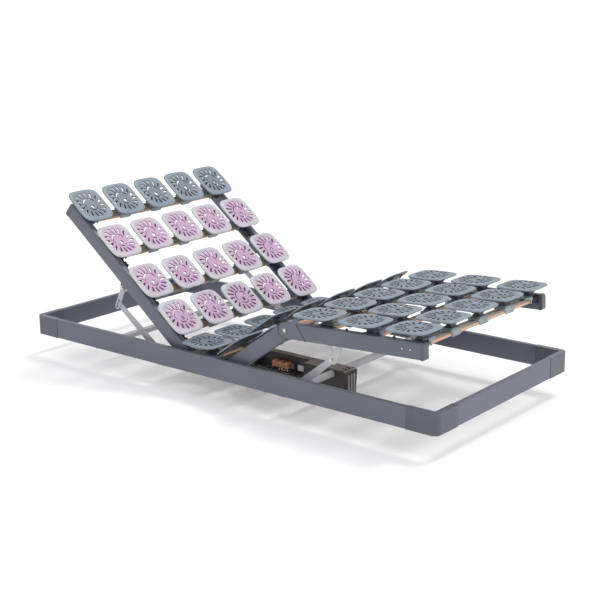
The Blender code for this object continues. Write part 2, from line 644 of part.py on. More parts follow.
def make_lift(base):
    link_eye = rest_point(BACKREST_HINGE, BACKREST_ANGLE, -1, LINK_EYE)
    lean = math.radians(LINK_LEAN)
    head_tip = (link_eye[0] - LINK_LENGTH * math.sin(lean), link_eye[1] - LINK_LENGTH * math.cos(lean))
    reach = (HEAD_SHAFT[0] - head_tip[0], head_tip[1] - HEAD_SHAFT[1])
    head_angle = math.degrees(math.atan2(reach[1], reach[0]))
    head_axis = axis_empty("head_shaft_axis", *HEAD_SHAFT, head_angle, base)
    add("head_shaft", shaft(-math.hypot(*reach), head_angle, HEAD_CRANK_LEAN), "plain_steel", head_axis)
    link_axis = axis_empty("head_link_axis", *link_eye, LINK_LEAN, base)
    for word, side in SIDES:
        make_head_link(word, side, link_axis)

    knee = rest_point(THIGH_HINGE, THIGH_ANGLE, 1, (THIGH_LENGTH, RAIL_CENTRE))
    foot_tip = rest_point(knee, CALF_ANGLE, 1, KNEE_BRACKET_EYE)
    reach = (foot_tip[0] - FOOT_SHAFT[0], foot_tip[1] - FOOT_SHAFT[1])
    foot_angle = math.degrees(math.atan2(reach[1], reach[0]))
    foot_axis = axis_empty("foot_shaft_axis", *FOOT_SHAFT, -foot_angle, base)
    add("foot_shaft", shaft(math.hypot(*reach), -foot_angle, FOOT_CRANK_LEAN), "plain_steel", foot_axis)


# ---------------------------------------------------------------- drive

def drive_housing():
    """The upper shell of the drive: open below, with a service recess and two shaft slots."""
    (x0, x1), (y0, y1), (z0, z1) = DRIVE_X, DRIVE_Y, DRIVE_Z
    z0 += DRIVE_WALL + GAP
    wall = DRIVE_WALL
    outline = [(x0, z0), (x1 - 0.006, z0), *arc((x1 - 0.010, z1 - 0.010), 0.010, 0, 90, 4),
               *arc((x0 + 0.006, z1 - 0.006), 0.006, 90, 180, 3)]
    shell = prism(outline, y0, y1)
    inside_y = (y0 + wall, y1 - wall)
    upper_y = (y0 + wall + 0.0005, y1 - wall - 0.0005)
    opening_y = (y0 + wall + 0.0010, y1 - wall - 0.0010)
    below, ceiling = z0 - 0.01, z1 - wall
    upper_floor = RECESS_FLOOR - wall - 0.005
    cutters = [
        box((x0 + wall, x1 - 0.012), inside_y, (below, RECESS_FLOOR - wall)),
        box((x0 + wall + 0.001, RECESS_X[0] - wall), upper_y, (upper_floor, ceiling)),
        box((RECESS_X[1] + wall, x1 - 0.013), upper_y, (upper_floor, ceiling)),
        box((x0 + 0.05, x1 - 0.05), (RECESS_BACK + wall, y1 - wall - 0.0015), (upper_floor + 0.001, ceiling - 0.001)),
        box(RECESS_X, (y0 - 0.01, RECESS_BACK), (RECESS_FLOOR, z1 + 0.01)),
    ]
    slot = SHAFT_RADIUS + GAP
    for x, z in (HEAD_SHAFT, FOOT_SHAFT):
        slot_outline = [*arc((x, z), slot, 180, 360, 12), (x + slot, z1 + 0.01), (x - slot, z1 + 0.01)]
        cutters.append(prism(slot_outline, y0 - 0.01, y1 + 0.01))
        cutters.append(box((x - 0.030, x + 0.030), opening_y, (z + 0.0035, z1 + 0.012)))
    return cut(shell, *cutters)


def shaft_cover(shaft_axis):
    """The lid over a shaft slot, with a leg in each side wall that closes the slot on the shaft."""
    x, z = shaft_axis
    y0, y1 = DRIVE_Y
    top = DRIVE_Z[1] + 0.001
    lid_y = (y0 + DRIVE_WALL + 0.0010 + GAP, y1 - DRIVE_WALL - 0.0010 - GAP)
    lid = box((x - 0.030 + GAP, x + 0.030 - GAP), lid_y, (top - 0.0025, top))
    half = SHAFT_RADIUS - GAP / 2
    legs = [box((x - half, x + half), limits, (z + 0.001, top - 0.0005))
            for limits in ((y0 + 0.0002, y0 + 0.008), (y1 - 0.008, y1 - 0.0002))]
    hole = prism(circle((x, z), SHAFT_RADIUS + GAP, 24), y0 - 0.01, y1 + 0.01)
    return cut(fuse(lid, *legs), hole)


def motor(start, spindle_end, spindle_height):
    """A gear motor with its spindle, along X."""
    end = start + MOTOR_LENGTH
    can = prism(circle((DRIVE_MIDDLE, MOTOR_HEIGHT), MOTOR_RADIUS, 24), start, end, "X")
    inward = 0.002 if spindle_end < start else -0.002
    spindle_start = (start if spindle_end < start else end) + inward
    spindle = prism(circle((DRIVE_MIDDLE, spindle_height), SPINDLE_RADIUS, 12), spindle_start, spindle_end, "X")
    return fuse(can, spindle)


def push_block(face, direction, height):
    """The nut on a spindle that pushes the crank. Face is the x of its pushing side."""
    block = box((face, face - direction * 0.022), (DRIVE_MIDDLE - 0.018, DRIVE_MIDDLE + 0.018),
                (height - 0.010, height + 0.010))
    hole = prism(circle((DRIVE_MIDDLE, height), SPINDLE_RADIUS + 0.0006, 12), face - 0.04, face + 0.04, "X")
    return cut(block, hole)


def make_drive(base):
    (x0, x1), (y0, y1), z0 = DRIVE_X, DRIVE_Y, DRIVE_Z[0]
    add("drive_housing", drive_housing(), "dark_housing", base)
    add("drive_bottom_cover", box((x0 + 0.001, x1 - 0.007), (y0 + 0.001, y1 - 0.001), (z0, z0 + DRIVE_WALL)),
        "dark_housing", base)
    add("shaft_cover_head", shaft_cover(HEAD_SHAFT), "dark_housing", base)
    add("shaft_cover_foot", shaft_cover(FOOT_SHAFT), "dark_housing", base)
    add("connector_block", box(CONNECTOR_X, (CONNECTOR_FRONT, RECESS_BACK - GAP),
                               (RECESS_FLOOR + GAP, CONNECTOR_TOP)), "brown_connector", base)
    add("head_motor", motor(HEAD_MOTOR_START, HEAD_SPINDLE_END, HEAD_SPINDLE_HEIGHT), "machined_steel", base)
    add("foot_motor", motor(FOOT_MOTOR_START, FOOT_SPINDLE_END, FOOT_SPINDLE_HEIGHT), "machined_steel", base)
    clearance = CRANK_ROLLER + 0.006
    head_face = HEAD_SHAFT[0] + crank_angle(HEAD_CRANK_LEAN)[0] + clearance
    foot_face = FOOT_SHAFT[0] + crank_angle(FOOT_CRANK_LEAN)[0] - clearance
    add("head_push_block", push_block(head_face, -1, HEAD_SPINDLE_HEIGHT), "machined_steel", base)
    add("foot_push_block", push_block(foot_face, 1, FOOT_SPINDLE_HEIGHT), "machined_steel", base)


# ---------------------------------------------------------------- assembly

def main():
    for obj in list(bpy.data.objects):
        bpy.data.objects.remove(obj)
    make_materials()
    base = axis_empty("base", 0.0, FRAME_RAISE, 0.0, None)
    backrest = axis_empty("backrest_hinge", *BACKREST_HINGE, BACKREST_ANGLE, base)
    thigh = axis_empty("thigh_hinge", *THIGH_HINGE, -THIGH_ANGLE, base)
    knee = axis_empty("knee_hinge", THIGH_LENGTH, RAIL_CENTRE, THIGH_ANGLE - CALF_ANGLE, thigh)
    make_frame(base)
    make_seat(base)
    make_backrest(backrest)
    make_thigh(thigh)
    make_calf(knee)
    make_lift(base)
    make_drive(base)


main()
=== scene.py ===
"""Looks of the adjustable bed base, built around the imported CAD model.

Every piece is placed from the CAD nodes: each row of plates from its slat's box, each section's
slope from two of its slats, the drive's details from the housing's box. Units are metres.
"""

import json
import math

import bmesh
import bpy
from mathutils import Matrix, Vector

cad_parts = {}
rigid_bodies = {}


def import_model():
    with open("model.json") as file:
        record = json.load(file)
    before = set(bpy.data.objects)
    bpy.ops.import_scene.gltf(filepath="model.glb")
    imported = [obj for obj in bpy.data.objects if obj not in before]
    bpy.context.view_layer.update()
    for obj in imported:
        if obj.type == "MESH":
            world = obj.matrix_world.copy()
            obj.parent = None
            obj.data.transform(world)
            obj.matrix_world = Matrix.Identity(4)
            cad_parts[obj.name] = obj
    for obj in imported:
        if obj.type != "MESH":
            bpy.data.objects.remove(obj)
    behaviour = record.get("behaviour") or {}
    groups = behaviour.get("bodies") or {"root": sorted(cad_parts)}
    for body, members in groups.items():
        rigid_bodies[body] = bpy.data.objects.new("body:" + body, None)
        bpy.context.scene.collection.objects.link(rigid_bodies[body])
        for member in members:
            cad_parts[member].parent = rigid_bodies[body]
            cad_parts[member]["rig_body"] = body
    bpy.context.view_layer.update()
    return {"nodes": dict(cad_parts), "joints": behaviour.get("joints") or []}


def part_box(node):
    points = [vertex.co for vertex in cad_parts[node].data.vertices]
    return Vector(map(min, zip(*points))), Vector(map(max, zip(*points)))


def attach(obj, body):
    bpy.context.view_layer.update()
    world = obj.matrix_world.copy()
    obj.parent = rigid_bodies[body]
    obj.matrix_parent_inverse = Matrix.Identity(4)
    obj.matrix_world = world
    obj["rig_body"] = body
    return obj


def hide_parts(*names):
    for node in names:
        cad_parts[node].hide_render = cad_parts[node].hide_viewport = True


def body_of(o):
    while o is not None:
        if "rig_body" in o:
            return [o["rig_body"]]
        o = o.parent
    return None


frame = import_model()

ROOT = bpy.context.scene.collection
PLATES_PER_ROW = 5
PLATE_PITCH = 0.18
NEAR, FAR = -1, 1


# ---------------------------------------------------------------- materials

def new_material(name, colour, roughness, metallic=0.0, coat=0.0, specular=0.5):
    made = bpy.data.materials.new(name)
    made.use_nodes = True
    shader = made.node_tree.nodes["Principled BSDF"]
    shader.inputs["Base Color"].default_value = (*colour, 1.0)
    shader.inputs["Roughness"].default_value = roughness
    shader.inputs["Metallic"].default_value = metallic
    shader.inputs["Coat Weight"].default_value = coat
    shader.inputs["Coat Roughness"].default_value = 0.25
    shader.inputs["Specular IOR Level"].default_value = specular
    return made


def node(made, kind, **settings):
    added = made.node_tree.nodes.new(kind)
    for key, value in settings.items():
        if key in added.inputs:
            added.inputs[key].default_value = value
        else:
            setattr(added, key, value)
    return added


def link(made, a, out, b, into):
    made.node_tree.links.new(a.outputs[out], b.inputs[into])


def position(made, stretch=(1.0, 1.0, 1.0)):
    """Object coordinates, stretched along each axis."""
    coordinates = node(made, "ShaderNodeTexCoord")
    mapping = node(made, "ShaderNodeMapping")
    mapping.inputs["Scale"].default_value = stretch
    link(made, coordinates, "Object", mapping, "Vector")
    return mapping


def ramp_between(made, source, output, low, high, colours):
    ramp = node(made, "ShaderNodeValToRGB")
    ramp.color_ramp.elements[0].position = low
    ramp.color_ramp.elements[1].position = high
    ramp.color_ramp.elements[0].color = (*colours[0], 1.0)
    ramp.color_ramp.elements[1].color = (*colours[1], 1.0)
    link(made, source, output, ramp, "Fac")
    return ramp


def grain(made, scale, detail, strength, distance, stretch=(1.0, 1.0, 1.0)):
    """A fine bump on the shader, from noise of that scale."""
    shader = made.node_tree.nodes["Principled BSDF"]
    mapping = position(made, stretch)
    noise = node(made, "ShaderNodeTexNoise", Scale=scale, Detail=detail, Roughness=0.6)
    link(made, mapping, "Vector", noise, "Vector")
    bump = node(made, "ShaderNodeBump", Strength=strength, Distance=distance)
    link(made, noise, "Fac", bump, "Height")
    link(made, bump, "Normal", shader, "Normal")


def tinted(made, scale, colours, low=0.35, high=0.7, roughness=None, stretch=(1.0, 1.0, 1.0)):
    """Slow colour variation over the surface, and roughness variation with it."""
    shader = made.node_tree.nodes["Principled BSDF"]
    mapping = position(made, stretch)
    noise = node(made, "ShaderNodeTexNoise", Scale=scale, Detail=4.0, Roughness=0.55)
    link(made, mapping, "Vector", noise, "Vector")
    ramp = ramp_between(made, noise, "Fac", low, high, colours)
    link(made, ramp, "Color", shader, "Base Color")
    if roughness:
        spread = node(made, "ShaderNodeMapRange")
        spread.inputs["To Min"].default_value = roughness[0]
        spread.inputs["To Max"].default_value = roughness[1]
        link(made, noise, "Fac", spread, "Value")
        link(made, spread, "Result", shader, "Roughness")


def powder_coat():
    made = new_material("slate_powder_coat", (0.105, 0.112, 0.150), 0.42, coat=0.10)
    tinted(made, 3.0, ((0.097, 0.103, 0.138), (0.113, 0.121, 0.161)), roughness=(0.36, 0.50))
    grain(made, 900.0, 2.0, 0.10, 0.0004)
    return made


def corner_plastic():
    made = new_material("slate_moulded_plastic", (0.068, 0.076, 0.096), 0.38, coat=0.20)
    tinted(made, 9.0, ((0.062, 0.069, 0.087), (0.074, 0.083, 0.105)), roughness=(0.34, 0.46))
    grain(made, 1400.0, 2.0, 0.06, 0.0003)
    return made


def coated_steel():
    made = new_material("silver_grey_coated_steel", (0.43, 0.435, 0.465), 0.42, metallic=0.12)
    tinted(made, 14.0, ((0.38, 0.385, 0.415), (0.48, 0.485, 0.515)), roughness=(0.34, 0.50))
    grain(made, 700.0, 3.0, 0.12, 0.0003)
    return made


def zinc():
    made = new_material("zinc_fastener", (0.58, 0.57, 0.53), 0.28, metallic=0.9)
    tinted(made, 120.0, ((0.48, 0.47, 0.44), (0.66, 0.65, 0.60)), roughness=(0.22, 0.4))
    return made


def turned_steel():
    made = new_material("turned_steel", (0.45, 0.45, 0.45), 0.3, metallic=0.9)
    tinted(made, 40.0, ((0.38, 0.38, 0.38), (0.55, 0.55, 0.54)),
           roughness=(0.24, 0.42), stretch=(12.0, 1.0, 1.0))
    return made


def beech():
    """Laminated beech: long grain along the slat, thin darker flecks and the glue lines of its layers."""
    made = new_material("beech_laminate", (0.62, 0.42, 0.27), 0.42, coat=0.3)
    shader = made.node_tree.nodes["Principled BSDF"]
    mapping = position(made, (60.0, 2.2, 160.0))
    noise = node(made, "ShaderNodeTexNoise", Scale=2.2, Detail=6.0, Roughness=0.62)
    link(made, mapping, "Vector", noise, "Vector")
    wood = ramp_between(made, noise, "Fac", 0.32, 0.72, ((0.44, 0.262, 0.152), (0.68, 0.455, 0.30)))
    flecks = position(made, (420.0, 34.0, 420.0))
    cells = node(made, "ShaderNodeTexNoise", Scale=1.0, Detail=2.0)
    link(made, flecks, "Vector", cells, "Vector")
    marks = ramp_between(made, cells, "Fac", 0.60, 0.72, ((0.0, 0.0, 0.0), (1.0, 1.0, 1.0)))
    mix = node(made, "ShaderNodeMix", data_type="RGBA")
    link(made, marks, "Color", mix, "Factor")
    made.node_tree.links.new(wood.outputs["Color"], mix.inputs[6])
    mix.inputs[7].default_value = (0.34, 0.19, 0.105, 1.0)
    made.node_tree.links.new(mix.outputs[2], shader.inputs["Base Color"])
    bump = node(made, "ShaderNodeBump", Strength=0.15, Distance=0.0004)
    link(made, noise, "Fac", bump, "Height")
    link(made, bump, "Normal", shader, "Normal")
    return made


def moulded(name, dark, light, roughness, scale=22.0, translucent=0.0):
    made = new_material(name, light, sum(roughness) / 2, specular=0.5)
    tinted(made, scale, (dark, light), roughness=roughness)
    grain(made, 1100.0, 2.0, 0.08, 0.0003)
    shader = made.node_tree.nodes["Principled BSDF"]
    shader.inputs["Subsurface Weight"].default_value = translucent
    shader.inputs["Subsurface Radius"].default_value = (0.01, 0.008, 0.01)
    return made


def housing_plastic():
    made = new_material("dark_textured_housing", (0.03, 0.026, 0.027), 0.48)
    tinted(made, 8.0, ((0.024, 0.021, 0.022), (0.040, 0.034, 0.034)), roughness=(0.40, 0.58))
    grain(made, 1800.0, 1.0, 0.35, 0.0005)
    return made


def shaded_plate(name, middle, edge, roughness, translucent):
    """Plate plastic: its colour goes from the middle's to the edge's by the mesh's "share" attribute. On the
    grey plates the darker middle is painted shade in the dish; the pink plates' grey rim is their own colour.
    """
    made = moulded(name, middle, edge, roughness, translucent=translucent)
    shader = made.node_tree.nodes["Principled BSDF"]
    share = node(made, "ShaderNodeAttribute", attribute_name="share")
    blend = ramp_between(made, share, "Fac", 0.62, 0.92, (middle, edge))
    mottle = node(made, "ShaderNodeTexNoise", Scale=30.0, Detail=3.0)
    link(made, position(made), "Vector", mottle, "Vector")
    level = ramp_between(made, mottle, "Fac", 0.3, 0.7, ((0.90, 0.90, 0.90), (1.06, 1.06, 1.06)))
    mix = node(made, "ShaderNodeMix", data_type="RGBA", blend_type="MULTIPLY")
    mix.inputs[0].default_value = 1.0
    made.node_tree.links.new(blend.outputs["Color"], mix.inputs[6])
    made.node_tree.links.new(level.outputs["Color"], mix.inputs[7])
    made.node_tree.links.new(mix.outputs[2], shader.inputs["Base Color"])
    return made


MATERIALS = {
    "frame": powder_coat(),
    "corner": corner_plastic(),
    "steel": coated_steel(),
    "zinc": zinc(),
    "turned": turned_steel(),
    "beech": beech(),
    # Grey plates: the darker middle is painted shade in the dished middle, the lighter edge is the plate's
    # own grey.
    "grey": shaded_plate("grey_plate_plastic", (0.132, 0.168, 0.214), (0.188, 0.234, 0.286),
                         (0.34, 0.50), 0.0),
    "pink": shaded_plate("pink_plate_plastic", (0.45, 0.290, 0.44), (0.47, 0.455, 0.50), (0.36, 0.52), 0.08),
    # Dark stem plastic for the stems, also laid on the grey plates' undersides as painted shade.
    "stem": moulded("dark_stem_plastic_and_underside_shade", (0.040, 0.043, 0.056), (0.066, 0.070, 0.088), (0.36, 0.52)),
    # Slot walls: darker grey and darker mauve copies of the plate colours, painted shade inside the openings.
    "slot": moulded("slot_wall_painted_shade", (0.045, 0.054, 0.068), (0.070, 0.082, 0.100), (0.40, 0.55)),
    "mauve": moulded("mauve_slot_wall_painted_shade", (0.21, 0.095, 0.21), (0.30, 0.15, 0.30), (0.40, 0.55)),
    "carrier": moulded("carrier_plastic", (0.19, 0.225, 0.245), (0.30, 0.345, 0.36),
                       (0.30, 0.46), translucent=0.10),
    # Dark rubber for holders, pegs and board parts; also the dark strips in the knee seams and under the
    # drive's ribs, painted shade.
    "rubber_and_painted_shade": moulded("holder_rubber_and_painted_shade", (0.016, 0.018, 0.023), (0.034, 0.037, 0.044), (0.55, 0.72)),
    "housing": housing_plastic(),
    # Lighter taupe on the drive's upward faces and ribs: painted light on the tops.
    "painted_light_taupe": moulded("taupe_painted_top_light", (0.215, 0.190, 0.185), (0.275, 0.245, 0.238), (0.40, 0.55)),
    "connector": moulded("orange_connector", (0.36, 0.150, 0.085), (0.62, 0.30, 0.17),
                         (0.30, 0.45), scale=160.0),
    "yellow": moulded("yellow_green_terminal", (0.40, 0.33, 0.16), (0.52, 0.45, 0.24),
                      (0.35, 0.5), scale=200.0),
    "label": moulded("blank_label", (0.74, 0.73, 0.70), (0.84, 0.83, 0.80), (0.45, 0.6), scale=70.0),
    "board": moulded("grey_board", (0.075, 0.080, 0.088), (0.130, 0.138, 0.150), (0.25, 0.42), scale=60.0),
}


# ---------------------------------------------------------------- mesh helpers

def finish_mesh(bm, angle=35.0):
    bmesh.ops.recalc_face_normals(bm, faces=bm.faces)
    mesh = bpy.data.meshes.new("piece")
    bm.to_mesh(mesh)
    bm.free()
    mesh.shade_smooth()
    mesh.set_sharp_from_angle(angle=math.radians(angle))
    return mesh


def piece(name, mesh, materials, body, replaces=()):
    """A finished mesh as a piece that rides on a body."""
    mesh.name = name
    made = bpy.data.objects.new(name, mesh)
    ROOT.objects.link(made)
    for key in materials:
        mesh.materials.append(MATERIALS[key])
    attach(made, body)
    if replaces:
        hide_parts(*replaces)
    return made


def bevel(obj, width, segments=2, angle=30.0):
    added = obj.modifiers.new("edges", "BEVEL")
    added.width = width
    added.segments = segments
    added.limit_method = "ANGLE"
    added.angle_limit = math.radians(angle)
    added.harden_normals = True
    return added


def arc(centre, radius, start, end, steps):
    angles = [math.radians(start + (end - start) * i / steps) for i in range(steps + 1)]
    return [(centre[0] + radius * math.cos(a), centre[1] + radius * math.sin(a)) for a in angles]


def rounded(low, high, radius, steps=4):
    (u0, v0), (u1, v1) = low, high
    corners = (((u1 - radius, v1 - radius), 0), ((u0 + radius, v1 - radius), 90),
               ((u0 + radius, v0 + radius), 180), ((u1 - radius, v0 + radius), 270))
    return [p for centre, start in corners for p in arc(centre, radius, start, start + 90, steps)]


def add_prism(bm, outline, low, high, axis="Z", material=0):
    """An outline in two axes, extruded along the third."""
    def at(point, depth):
        u, v = point
        return {"X": (depth, u, v), "Y": (u, depth, v), "Z": (u, v, depth)}[axis]
    rings = [[bm.verts.new(at(p, depth)) for p in outline] for depth in (low, high)]
    faces = [bm.faces.new(rings[0]), bm.faces.new(rings[1])]
    count = len(outline)
    for i in range(count):
        j = (i + 1) % count
        faces.append(bm.faces.new((rings[0][i], rings[0][j], rings[1][j], rings[1][i])))
    for face in faces:
        face.material_index = material


def add_box(bm, x, y, z, radius=0.0, material=0):
    outline = rounded((x[0], y[0]), (x[1], y[1]), radius, 3) if radius else \
        [(x[0], y[0]), (x[1], y[0]), (x[1], y[1]), (x[0], y[1])]
    add_prism(bm, outline, z[0], z[1], "Z", material)


def add_strip(bm, points, width_axis, width, thickness, material=0):
    """A flat strip of that width and thickness along a line of points."""
    side = Vector(width_axis).normalized()
    rows = []
    for i, point in enumerate(points):
        before, after = points[max(i - 1, 0)], points[min(i + 1, len(points) - 1)]
        along = (Vector(after) - Vector(before)).normalized()
        up = along.cross(side).normalized()
        half_w, half_t = width[i] / 2, thickness / 2
        rows.append([bm.verts.new(Vector(point) + side * a * half_w + up * b * half_t)
                     for a, b in ((-1, -1), (1, -1), (1, 1), (-1, 1))])
    faces = [bm.faces.new(rows[0]), bm.faces.new(rows[-1])]
    for low, high in zip(rows, rows[1:]):
        for i in range(4):
            j = (i + 1) % 4
            faces.append(bm.faces.new((low[i], low[j], high[j], high[i])))
    for face in faces:
        face.material_index = material


# ---------------------------------------------------------------- frame, rails and levers

def refined(name, material, width, segments=3, second=None, where=None):
    """The CAD node's own shape, welded so that it shades smoothly, with its sharp edges eased. Faces
    for which where(centre, normal) holds take the second material."""
    source = frame["nodes"][name]
    bm = bmesh.new()
    bm.from_mesh(source.data)
    bmesh.ops.remove_doubles(bm, verts=bm.verts, dist=0.00002)
    bmesh.ops.dissolve_limit(bm, angle_limit=math.radians(0.5), verts=bm.verts, edges=bm.edges)
    bmesh.ops.recalc_face_normals(bm, faces=bm.faces)
    for face in bm.faces:
        face.material_index = int(bool(where and where(face.calc_center_median(), face.normal)))
    keys = [material, second] if second else [material]
    made = piece(f"{name}_finished", finish_mesh(bm, 30.0), keys, body_of(source)[0], [name])
    bevel(made, width, segments)
    return made


def section_slope(first, last):
    """Unit vector along a section towards the foot, from the boxes of its first and last slat."""
    centres = [sum(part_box(name), Vector()) / 2 for name in (first, last)]
    along = centres[1] - centres[0]
    along.y = 0.0
    return along.normalized()


def joint_place(name):
    return Vector(next(joint["pos_m"] for joint in frame["joints"] if joint["name"] == name))


CALF = section_slope("calf_slat_1", "calf_slat_3")
CALF_NORMAL = CALF.cross(Vector((0.0, 1.0, 0.0)))
KNEE = joint_place("knee_hinge")
RAIL_HALF_HEIGHT = 0.030
RAIL_OUTER = 0.409
BRACKET_OUTER = 0.384
BRACKET_EYE = (0.1876, -0.0895)
LINK_THICKNESS = 0.0045
SCREWS_ALONG = (0.510, 0.543)
PEGS_ALONG = (0.206, 0.270, 0.406, 0.470)


def calf_point(along, height, y=0.0):
    """A point of the calf section, from the knee along its rail and above the rail's middle."""
    return KNEE + CALF * along + CALF_NORMAL * height + Vector((0.0, y, 0.0))


def is_bracket(centre, normal):
    return (centre - KNEE).dot(CALF_NORMAL) < -RAIL_HALF_HEIGHT - 0.001


def refine_frame():
    for word in ("near", "far"):
        refined(f"side_rail_{word}", "frame", 0.0006)
        for section in ("backrest", "thigh", "seat"):
            refined(f"{section}_rail_{word}", "frame", 0.0006)
        refined(f"calf_rail_{word}", "frame", 0.0006, 3, "steel", is_bracket)
        refined(f"knee_fitting_{word}", "frame", 0.0012)
        for section in ("backrest", "calf"):
            refined(f"{section}_cap_{word}", "corner", 0.0015)
        for end in ("head", "foot"):
            refined(f"corner_{end}_{word}", "corner", 0.0030, 4)
            refined(f"{end}_bearing_{word}", "steel", 0.0004, 2)
        refined(f"head_link_{word}", "steel", 0.0005, 2)
    for end in ("head", "foot"):
        refined(f"{end}_rail", "frame", 0.0006)
        refined(f"{end}_shaft", "steel", 0.0006, 2)
    refined("head_cross_member", "steel", 0.0005, 2)


# ---------------------------------------------------------------- fasteners and seams

def add_bolt(bm, place, outward, radius, height):
    """A hexagon bolt on a washer. Outward is the way along Y that it faces."""
    def depths(low, high):
        return sorted((place.y + outward * low, place.y + outward * high))
    centre = (place.x, place.z)
    low, high = depths(-0.0005, 0.0012)
    add_prism(bm, arc(centre, radius * 1.45, 0, 345, 23), low, high, "Y")
    low, high = depths(0.001, height * 0.8)
    add_prism(bm, arc(centre, radius, 15, 315, 5), low, high, "Y")
    low, high = depths(height * 0.75, height)
    add_prism(bm, arc(centre, radius * 0.82, 15, 315, 5), low, high, "Y")


def add_button(bm, place, outward, radius, height):
    """A low domed head with a hexagon socket."""
    steps = 5
    for i in range(steps):
        share = i / steps
        low, high = sorted(place.y + outward * height * (share + extra) for extra in (0.0, 0.22))
        ring = arc((place.x, place.z), radius * math.sqrt(1 - share ** 2 * 0.8), 0, 345, 23)
        add_prism(bm, ring, low, high, "Y")


def add_plank(bm, start, end, half_width, y_limits):
    """A thin strip between two points of the calf section, on one side of the bed."""
    turn = math.degrees(math.atan2(end.z - start.z, end.x - start.x))
    outline = arc((start.x, start.z), half_width, turn + 90, turn + 270, 3)
    outline += arc((end.x, end.z), half_width, turn - 90, turn + 90, 3)
    add_prism(bm, outline, min(y_limits), max(y_limits), "Y")


def make_fasteners():
    """Bolts at the knees, lift brackets and links, dark strips along the knee joints' seam lines as painted
    shade in the gaps, and the pegs on the calf rails.
    """
    knee_bolts, eye_bolts, link_bolts, rail_screws, seams, pegs = (bmesh.new() for _ in range(6))
    link_eye = joint_place("head_link_turn")
    for side in (NEAR, FAR):
        add_button(knee_bolts, calf_point(0.0, 0.0, side * (RAIL_OUTER + 0.0014)), side, 0.0072, 0.0030)
        add_bolt(eye_bolts, calf_point(*BRACKET_EYE, side * BRACKET_OUTER), side, 0.0075, 0.0060)
        link_face = link_eye + Vector((0.0, side * (BRACKET_OUTER + LINK_THICKNESS), 0.0))
        add_bolt(link_bolts, link_face, side, 0.0065, 0.0055)
        for along in SCREWS_ALONG:
            screw = calf_point(along, 0.002, side * (RAIL_OUTER + 0.0005))
            add_button(rail_screws, screw, side, 0.0045, 0.0014)
        outer = (side * (RAIL_OUTER - 0.004), side * (RAIL_OUTER + 0.0003))
        # Dark strips along the joint between knee fitting and calf rail: painted shade in the gaps.
        add_plank(seams, calf_point(0.053, 0.0296), calf_point(0.093, -0.0296), 0.0017, outer)
        curve = [calf_point(0.0308 * math.cos(a), 0.0308 * math.sin(a)) for a in
                 (math.radians(95 + 175 * k / 18) for k in range(19))]
        for start, end in zip(curve, curve[1:]):
            add_plank(seams, start, end, 0.0008, outer)
        for along in PEGS_ALONG:
            peg = calf_point(along, RAIL_HALF_HEIGHT, side * (RAIL_OUTER - 0.0125))
            add_prism(pegs, arc((peg.x, peg.y), 0.0050, 0, 330, 11), peg.z - 0.001, peg.z + 0.0045)
            add_prism(pegs, arc((peg.x, peg.y), 0.0036, 0, 330, 11), peg.z + 0.004, peg.z + 0.0075)
    piece("knee_bolts", finish_mesh(knee_bolts), ["zinc"], "calf")
    piece("bracket_bolts", finish_mesh(eye_bolts), ["zinc"], "calf")
    piece("link_bolts", finish_mesh(link_bolts), ["zinc"], "backrest")
    piece("calf_rail_screws", finish_mesh(rail_screws), ["steel"], "calf")
    piece("knee_seam_shade", finish_mesh(seams), ["rubber_and_painted_shade"], "calf")
    piece("calf_rail_pegs", finish_mesh(pegs), ["rubber_and_painted_shade"], "calf")


# ---------------------------------------------------------------- plates

PLATE_HALF_LENGTH = 0.083
PLATE_HALF_WIDTH = 0.077
PLATE_EDGE = 0.0060
PLATE_SKIN = 0.0046
PLATE_ANGLES = 72
SLOT_COUNT = 16
SLOT_RING = (0.0430, 0.0605)
CENTRE_ON_SLAT = -0.030
PLATE_TOP_OVER_SLAT = 0.056
CLIP_REACH = 0.036
ROW_END_GAP = 0.036
# Share of the plate within which slot walls take the painted shade.
SLOT_SHADE_WITHIN = 0.85


def superellipse(angle, half_u, half_v, power):
    c, s = math.cos(angle), math.sin(angle)
    return (half_u * math.copysign(abs(c) ** (2 / power), c),
            half_v * math.copysign(abs(s) ** (2 / power), s))


def plate_height(t):
    """Height of the plate's top at a share t of the way from its middle to its edge."""
    dome = 0.0012 * (1 - t * t)
    dish = -0.0011 / (1 + math.exp((t - 0.80) / 0.012))
    rim = 0.0004 * math.exp(-((t - 0.87) / 0.05) ** 2)
    fall = -0.0016 * max(0.0, (t - 0.93) / 0.07) ** 2
    return dome + dish + rim + fall


def slot_outline(angle, start, end, lean, half_width):
    """A petal-shaped slot from start to end along a ray, leaning off it, widest near its outer end."""
    ray = Vector((math.cos(angle), math.sin(angle)))
    across = Vector((-ray.y, ray.x))
    a = ray * start
    b = ray * end + across * lean
    turn = math.degrees(math.atan2((b - a).y, (b - a).x))
    return arc(a, half_width * 0.70, turn + 90, turn + 270, 3) + arc(b, half_width, turn - 90, turn + 90, 4)


def comma_outline(centre, radius, start, sweep, thick, tail=0.15):
    """A curled opening: a band along an arc that swells to its full thickness and thins to its tail."""
    steps = 12
    outer, inner = [], []
    for i in range(steps + 1):
        share = i / steps
        a = math.radians(start + sweep * share)
        half = thick * (tail + (1 - tail) * math.sin(math.pi * (0.12 + 0.88 * share)) ** 0.8) / 2
        r = radius * (1 - 0.10 * share)
        outer.append((centre[0] + (r + half) * math.cos(a), centre[1] + (r + half) * math.sin(a)))
        inner.append((centre[0] + (r - half) * math.cos(a), centre[1] + (r - half) * math.sin(a)))
    return outer + inner[::-1]


